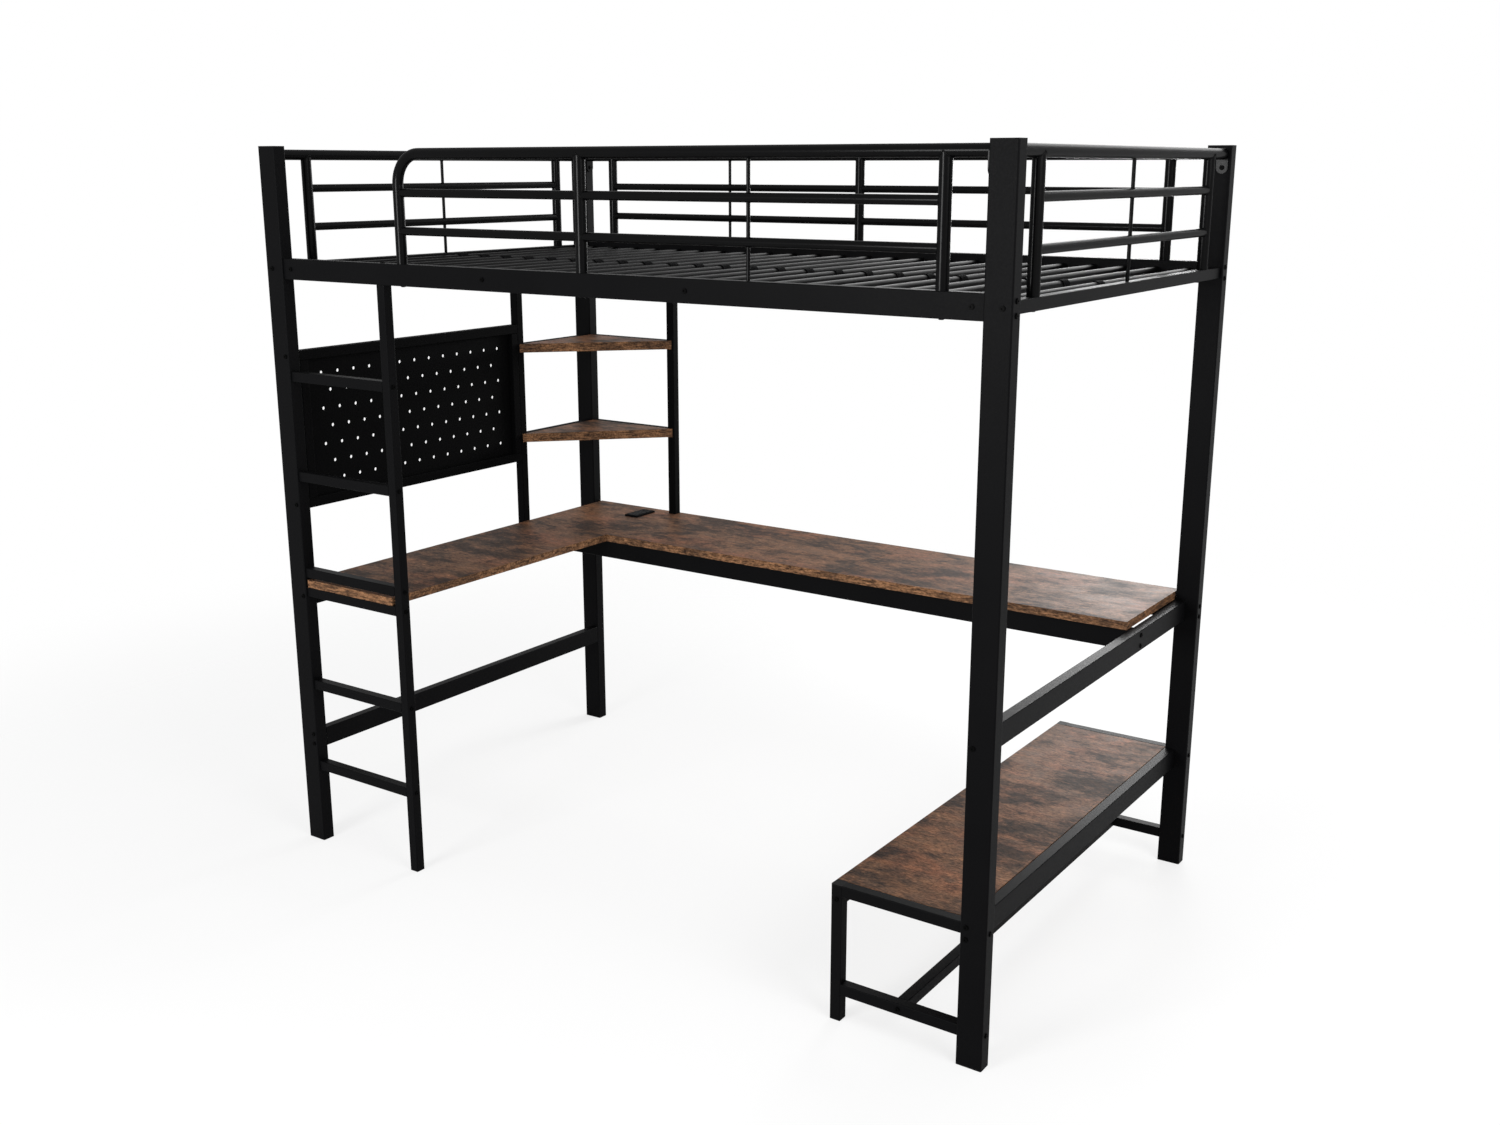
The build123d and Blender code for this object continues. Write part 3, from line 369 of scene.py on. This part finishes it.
def welded_joints(tubes):
    """Places where a tube ends on one as thick or thicker.

    Each has its foot on the thicker tube's axis, the ways out, across and along, and both radii."""
    near = 0.001
    joints = []
    for run, middle, thin, ends in tubes:
        for line, centre, thick, reach in tubes:
            across = 3 - run - line
            if line == run or thin > thick + near or abs(middle[across] - centre[across]) > near:
                continue
            if not reach[0] < middle[line] < reach[1]:
                continue
            for end in ends:
                if abs(end - centre[run]) > thick + near:
                    continue
                foot = middle.copy()
                foot[run] = centre[run]
                out, side, way = Vector(), Vector(), Vector()
                out[run] = 1.0 if middle[run] > centre[run] else -1.0
                side[across] = 1.0
                way[line] = 1.0
                joints.append((foot, out, side, way, thin, thick))
    return joints


def lay_bead(metal, joint, welds):
    """Sweep a rippled bead round the saddle line where a tube meets another."""
    foot, out, side, way, thin, thick = joint
    facets, steps_per_ripple, middle_rail = 6, 4, 0.0095
    size = welds.bead * math.sqrt(thin / middle_rail)
    ripples = round(2 * math.pi * thin / welds.ripple)
    steps = ripples * steps_per_ripple

    def place(angle):
        """Point of the saddle line at an angle round the thinner tube."""
        lean = thin * math.cos(angle)
        rise = math.sqrt(max(thick * thick - lean * lean, 0.0))
        return foot + out * rise + side * lean + way * (thin * math.sin(angle))

    rings = []
    for step in range(steps):
        angle = 2 * math.pi * step / steps
        spot = place(angle)
        ahead = (place(angle + math.pi / steps) - place(angle - math.pi / steps)).normalized()
        from_thin = side * math.cos(angle) + way * math.sin(angle)
        from_thick = spot - foot - way * (spot - foot).dot(way)
        up = (from_thin + from_thick.normalized()).normalized()
        over = ahead.cross(up).normalized()
        radius = size * (1 + welds.swell * math.sin(ripples * angle))
        rings.append([metal.verts.new(spot + radius * (up * math.cos(turn) + over * math.sin(turn)))
                      for turn in (2 * math.pi * i / facets for i in range(facets))])
    for one, two in zip(rings, rings[1:] + rings[:1]):
        for i in range(facets):
            j = (i + 1) % facets
            metal.faces.new((one[i], one[j], two[j], two[i])).smooth = True


class LOFTBED_OT_weld_guardrails(bpy.types.Operator):
    """Lay a weld bead wherever one tube of a guardrail ends on another"""
    bl_idname = "loftbed.weld_guardrails"
    bl_label = "Weld the guardrails"

    def execute(self, context):
        welds = settings().welds
        for name in GUARDRAILS:
            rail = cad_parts[name]
            metal = bmesh.new()
            for joint in welded_joints(straight_tubes(rail.data)):
                lay_bead(metal, joint, welds)
            bmesh.ops.recalc_face_normals(metal, faces=metal.faces)
            mesh = bpy.data.meshes.new(name + "_weld_beads")
            metal.to_mesh(mesh)
            metal.free()
            mesh.materials.append(rail.data.materials[0])
            beads = bpy.data.objects.new(name + "_weld_beads", mesh)
            bpy.context.scene.collection.objects.link(beads)
            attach(beads, "root")
        return {"FINISHED"}


def rustic_board(board):
    """Melamine film with a rustic print, pressed on chipboard: brown grain under smoky patches,
    with small smudges, knots and broken plank joints, and a lighter streaked band on the edges."""
    plank_dark, plank_light, plank_stagger = (0.86, 0.86, 0.86, 1.0), (1.1, 1.1, 1.1, 1.0), 0.37
    bend_long, bend_wide, knot_squash = 0.03, 0.02, 1.7
    edge_slope, relief_deep = 0.5, 0.00015
    material, tree = new_material("rustic_print_on_chipboard")
    spot = add(tree, "ShaderNodeTexCoord").outputs["Object"]

    def cloud(long, wide, detail, ragged, high=None):
        """Noise stretched along the board."""
        place = add(tree, "ShaderNodeMapping", {
            "Vector": spot, "Scale": (1 / long, 1 / wide, 1 / (high or wide))})
        return add(tree, "ShaderNodeTexNoise", {
            "Vector": place.outputs[0], "Scale": 1.0, "Detail": detail,
            "Roughness": ragged}).outputs[0]

    def ranged(value, low, high, start=0.0, end=1.0):
        """Value between low and high, spread from start to end."""
        return add(tree, "ShaderNodeMapRange", {"Value": value, "From Min": low, "From Max": high,
                                                "To Min": start, "To Max": end}).outputs[0]

    def counted(operation, one, other=0.0):
        """Result of one sum."""
        return add(tree, "ShaderNodeMath", {0: one, 1: other}, operation=operation).outputs[0]

    def blended(amount, under, over):
        """One colour laid over another."""
        return add(tree, "ShaderNodeMix", {"Factor": amount, "A": under, "B": over},
                   data_type="RGBA").outputs["Result"]

    def scaled(tone, amount):
        """Colour made darker or lighter."""
        return add(tree, "ShaderNodeVectorMath", {0: tone, "Scale": amount},
                   operation="SCALE").outputs[0]

    grain = cloud(board.grain_long, board.grain_wide, detail=8.0, ragged=0.7)
    warmth = cloud(board.patch_long * 1.4, board.patch_wide * 1.6, detail=5.0, ragged=0.65)
    patches = cloud(board.patch_long, board.patch_wide, detail=12.0, ragged=0.74)
    veils = cloud(board.patch_long * 0.45, board.patch_wide * 0.4, detail=10.0, ragged=0.74)
    wisps = cloud(board.smudge_long * 0.5, board.smudge_wide * 0.6, detail=8.0, ragged=0.78)
    smudges = cloud(board.smudge_long, board.smudge_wide, detail=9.0, ragged=0.75)
    # Flecks of the print are under a millimetre wide and are drawn coarser, so that they show.
    flecks = cloud(board.fleck * 2.6, board.fleck, detail=4.0, ragged=0.8)
    streaks = cloud(board.streak_long, board.streak_long, detail=6.0, ragged=0.75,
                    high=board.streak_high)

    # Grain, warm places, dull veils, smoky patches and small smudges, from the bottom up.
    face = blended(ranged(grain, 0.36, 0.64), board.middle, board.light)
    face = blended(ranged(warmth, 0.48, 0.66, 0.0, 0.5), face, board.glow)
    face = blended(ranged(veils, 0.46, 0.6, 0.0, 0.6), face, board.veil)
    smoke = counted("MULTIPLY", ranged(patches, 0.46, 0.57), ranged(wisps, 0.28, 0.56, 0.45, 1.0))
    face = blended(smoke, face, board.smoke)
    face = blended(ranged(smudges, 0.56, 0.7, 0.0, 0.6), face, board.smoke)

    # Planks of slightly different tone, with broken dark joints and bent knots.
    planks = add(tree, "ShaderNodeTexBrick", {
        "Vector": spot, "Color1": plank_dark, "Color2": plank_light, "Mortar": WHITE,
        "Scale": 1.0, "Mortar Size": board.plank_joint, "Mortar Smooth": 0.2,
        "Brick Width": board.plank_long, "Row Height": board.plank_wide}, offset=plank_stagger)
    joint = counted("MULTIPLY", planks.outputs["Fac"], ranged(smudges, 0.42, 0.56, 0.9, 0.0))
    tint = add(tree, "ShaderNodeSeparateColor", {"Color": planks.outputs["Color"]}).outputs[0]
    bend = add(tree, "ShaderNodeCombineXYZ", {
        "X": ranged(wisps, 0.0, 1.0, -bend_long, bend_long),
        "Y": ranged(smudges, 0.0, 1.0, -bend_wide, bend_wide)}).outputs[0]
    bent = add(tree, "ShaderNodeVectorMath", {0: spot, 1: bend}, operation="ADD").outputs[0]
    cells = add(tree, "ShaderNodeMapping", {
        "Vector": bent, "Scale": (1 / board.knot, knot_squash / board.knot, 1.0)}).outputs[0]
    knots = add(tree, "ShaderNodeTexVoronoi", {"Vector": cells, "Scale": 1.0}).outputs["Distance"]
    mark = counted("MAXIMUM", joint, ranged(knots, 0.05, 0.13, 0.85, 0.0))
    face = blended(mark, face, board.crack)
    face = scaled(scaled(face, ranged(flecks, 0.34, 0.66, 0.3, 1.7)), tint)

    # Upright faces have the edge band instead.
    normal = add(tree, "ShaderNodeNewGeometry").outputs["Normal"]
    way = add(tree, "ShaderNodeSeparateXYZ", {"Vector": normal})
    side = counted("LESS_THAN", counted("ABSOLUTE", way.outputs["Z"]), edge_slope)
    band = blended(ranged(streaks, 0.42, 0.62), board.edge, board.streak)
    band = blended(counted("MULTIPLY", smoke, 0.6), band, board.smoke)
    band = blended(ranged(smudges, 0.56, 0.66, 0.0, 0.8), band, board.crack)
    band = scaled(band, ranged(flecks, 0.35, 0.65, 0.35, 1.65))

    ridges = counted("SUBTRACT", flecks, mark)
    relief = add(tree, "ShaderNodeBump", {
        "Height": ridges, "Strength": 0.3, "Distance": relief_deep}).outputs[0]
    shader = add(tree, "ShaderNodeBsdfPrincipled", {
        "Base Color": blended(side, face, band), "Normal": relief,
        "Roughness": ranged(patches, 0.4, 0.65, board.roughness - 0.04, board.roughness + 0.08),
        "Specular IOR Level": board.shine})
    close_material(tree, shader)
    return material


class LOFTBED_OT_print_boards(bpy.types.Operator):
    """Give the desk, shelf and bench boards their rustic print and edge band"""
    bl_idname = "loftbed.print_boards"
    bl_label = "Print the boards"

    def execute(self, context):
        dress(BOARDS, rustic_board(settings().board))
        return {"FINISHED"}


def moulded_plastic(name, tone, grit, roughness, shine):
    """Plastic moulded in a finely etched tool: matte, with a soft pebbled sheen."""
    pebble_deep = 0.00008
    material, tree = new_material(name)
    spot = add(tree, "ShaderNodeTexCoord").outputs["Object"]
    pebble = noise(tree, spot, grit, detail=2.0)
    relief = add(tree, "ShaderNodeBump", {
        "Height": pebble, "Strength": 0.4, "Distance": pebble_deep}).outputs[0]
    shader = add(tree, "ShaderNodeBsdfPrincipled", {
        "Base Color": tone, "Normal": relief, "Specular IOR Level": shine,
        "Roughness": uneven_gloss(tree, pebble, roughness, smoother=0.06, rougher=0.08)})
    close_material(tree, shader)
    return material


class LOFTBED_OT_mould_plastics(bpy.types.Operator):
    """Finish the caps and feet as moulded plastic, and the slat sleeves in a softer, duller one"""
    bl_idname = "loftbed.mould_plastics"
    bl_label = "Mould the caps and feet"

    def execute(self, context):
        plastic = settings().mouldings
        dress(MOULDINGS, moulded_plastic("black_moulded_polyethylene", plastic.body, plastic.grit,
                                         roughness=0.52, shine=0.05))
        dress(("slat_sleeves",), moulded_plastic("black_soft_pvc", plastic.body, plastic.grit,
                                                 roughness=0.6, shine=0.02))
        return {"FINISHED"}


class LOFTBED_OT_finish_outlet(bpy.types.Operator):
    """Finish the power outlet in the desk corner"""
    bl_idname = "loftbed.finish_outlet"
    bl_label = "Finish the outlet"

    def execute(self, context):
        plastic = settings().mouldings
        dress(("outlet_housing",), moulded_plastic("black_abs_housing", plastic.body, plastic.grit,
                                                   roughness=0.62, shine=0.01))
        dress(("outlet_sockets",), moulded_plastic("grey_abs_insert", plastic.insert, plastic.grit,
                                                   roughness=0.5, shine=0.015))
        return {"FINISHED"}


def finished_steel(name, tone, metallic, roughness, shine):
    """Turned steel, blackened or plated: a fine grain in the gloss."""
    grain_wide = 0.0012
    material, tree = new_material(name)
    spot = add(tree, "ShaderNodeTexCoord").outputs["Object"]
    grain = noise(tree, spot, grain_wide, detail=3.0)
    shader = add(tree, "ShaderNodeBsdfPrincipled", {
        "Base Color": tone, "Metallic": metallic, "Specular IOR Level": shine,
        "Roughness": uneven_gloss(tree, grain, roughness, smoother=0.08, rougher=0.1)})
    close_material(tree, shader)
    return material


class LOFTBED_OT_plate_fasteners(bpy.types.Operator):
    """Finish the bolts, screws, nuts and threaded blocks"""
    bl_idname = "loftbed.plate_fasteners"
    bl_label = "Plate the fasteners"

    def execute(self, context):
        steel = settings().fasteners
        dress(BLACK_FASTENERS, finished_steel("black_oxide_steel", steel.black, metallic=0.0,
                                              roughness=0.42, shine=0.022))
        dress(PLATED_STEEL, finished_steel("zinc_plated_steel", steel.zinc, metallic=1.0,
                                           roughness=0.34, shine=0.5))
        return {"FINISHED"}


class LOFTBED_OT_set_stage(bpy.types.Operator):
    """Lay the floor, set the lamps and surround, and aim the camera"""
    bl_idname = "loftbed.set_stage"
    bl_label = "Set the stage"

    def execute(self, context):
        stage = settings().stage
        scene = bpy.context.scene
        scene.view_settings.view_transform = "Standard"
        self.lay_floor(stage)
        self.light_world(scene, stage)
        for name, setting, place, aim, wide, high in LAMPS:
            self.hang_lamp(scene, name, place, aim, wide, high, getattr(stage, setting))
        camera = bpy.data.cameras.new("camera")
        camera.sensor_fit = "HORIZONTAL"
        camera.sensor_width = FILM_WIDTH
        camera.lens = stage.lens
        viewer = bpy.data.objects.new("camera", camera)
        viewer.location = CAMERA_PLACE
        viewer.rotation_euler = (math.radians(90 - CAMERA_TILT), 0.0, math.radians(CAMERA_TURN))
        scene.collection.objects.link(viewer)
        scene.camera = viewer
        return {"FINISHED"}

    def lay_floor(self, stage):
        """Pale floor that fades into the white surround away from the bed."""
        mesh = bpy.data.meshes.new("floor")
        signs = ((-1, -1), (1, -1), (1, 1), (-1, 1))
        corners = [(x * FLOOR_REACH, y * FLOOR_REACH, 0) for x, y in signs]
        mesh.from_pydata(corners, [], [(0, 1, 2, 3)])
        floor = bpy.data.objects.new("floor", mesh)
        floor.location = (0.0, 0.0, -FLOOR_GAP)
        bpy.context.scene.collection.objects.link(floor)
        material, tree = new_material("pale_floor")
        spot = add(tree, "ShaderNodeTexCoord").outputs["Object"]
        away = add(tree, "ShaderNodeVectorMath", {0: spot}, operation="LENGTH").outputs["Value"]
        fade = add(tree, "ShaderNodeMapRange", {
            "Value": away, "From Min": FADE_START, "From Max": FADE_END, "To Min": 0.0,
            "To Max": 1.0}, interpolation_type="SMOOTHSTEP").outputs[0]
        matte = add(tree, "ShaderNodeBsdfDiffuse", {"Color": stage.floor}).outputs[0]
        white = add(tree, "ShaderNodeEmission", {"Color": WHITE, "Strength": 1.0}).outputs[0]
        path = add(tree, "ShaderNodeLightPath")
        lift = add(tree, "ShaderNodeMath", {
            0: path.outputs["Is Camera Ray"], 1: 1.0 - stage.shadow},
            operation="MULTIPLY").outputs[0]
        pale = add(tree, "ShaderNodeMixShader", {0: lift, 1: matte, 2: white}).outputs[0]
        clear = add(tree, "ShaderNodeBsdfTransparent").outputs[0]
        close_material(tree, add(tree, "ShaderNodeMixShader", {0: fade, 1: pale, 2: clear}))
        mesh.materials.append(material)

    def light_world(self, scene, stage):
        """Soft surround light that shows as plain white."""
        world = bpy.data.worlds.new("surround")
        world.use_nodes = True
        scene.world = world
        tree = world.node_tree
        tree.nodes.clear()
        path = add(tree, "ShaderNodeLightPath").outputs
        seen = path["Is Camera Ray"]
        for kind in ("Is Glossy Ray", "Is Transmission Ray"):
            seen = add(tree, "ShaderNodeMath", {0: seen, 1: path[kind]},
                       operation="MAXIMUM").outputs[0]
        level = add(tree, "ShaderNodeMapRange", {
            "Value": seen, "To Min": stage.sky, "To Max": 1.0}).outputs[0]
        glow = add(tree, "ShaderNodeBackground", {"Color": WHITE, "Strength": level})
        add(tree, "ShaderNodeOutputWorld", {"Surface": glow.outputs[0]})

    def hang_lamp(self, scene, name, place, aim, wide, high, watts):
        """Large soft lamp that faces a point."""
        lamp = bpy.data.lights.new(name, "AREA")
        lamp.shape = "RECTANGLE"
        lamp.size = wide
        lamp.size_y = high
        lamp.energy = watts
        hung = bpy.data.objects.new(name, lamp)
        hung.location = place
        hung.visible_camera = False
        hung.rotation_euler = (Vector(aim) - Vector(place)).to_track_quat("-Z", "Y").to_euler()
        scene.collection.objects.link(hung)


class LoftBedSettings(bpy.types.PropertyGroup):
    """All settings of the bed."""
    coat: PointerProperty(type=LoftBedCoat)
    board: PointerProperty(type=LoftBedBoard)
    mouldings: PointerProperty(type=LoftBedMouldings)
    fasteners: PointerProperty(type=LoftBedFasteners)
    welds: PointerProperty(type=LoftBedWelds)
    stage: PointerProperty(type=LoftBedStage)


OPERATORS = (
    LOFTBED_OT_coat_frame,
    LOFTBED_OT_coat_guardrails,
    LOFTBED_OT_coat_slats,
    LOFTBED_OT_weld_guardrails,
    LOFTBED_OT_coat_desk_wall,
    LOFTBED_OT_print_boards,
    LOFTBED_OT_mould_plastics,
    LOFTBED_OT_finish_outlet,
    LOFTBED_OT_plate_fasteners,
    LOFTBED_OT_set_stage,
)


class LOFTBED_PT_panel(bpy.types.Panel):
    """Steps and settings of the loft bed"""
    bl_idname = "LOFTBED_PT_panel"
    bl_label = "Loft bed"
    bl_space_type = "VIEW_3D"
    bl_region_type = "UI"
    bl_category = "Loft bed"

    def draw(self, context):
        for operator in OPERATORS:
            self.layout.operator(operator.bl_idname)
        for group in ("coat", "board", "mouldings", "fasteners", "welds", "stage"):
            box = self.layout.box()
            box.label(text=group.capitalize())
            part = getattr(context.scene.loft_bed, group)
            for name in part.__annotations__:
                box.prop(part, name)


CLASSES = (
    LoftBedCoat, LoftBedBoard, LoftBedMouldings, LoftBedFasteners, LoftBedWelds, LoftBedStage,
    LoftBedSettings, *OPERATORS, LOFTBED_PT_panel,
)


def register():
    """Register the classes and hang the settings on the scene."""
    for cls in CLASSES:
        bpy.utils.register_class(cls)
    bpy.types.Scene.loft_bed = PointerProperty(type=LoftBedSettings)


def unregister():
    """Undo register."""
    del bpy.types.Scene.loft_bed
    for cls in reversed(CLASSES):
        bpy.utils.unregister_class(cls)


def main():
    """Run every step."""
    register()
    for operator in OPERATORS:
        group, name = operator.bl_idname.split(".")
        getattr(getattr(bpy.ops, group), name)()


if __name__ == "__main__":
    main()
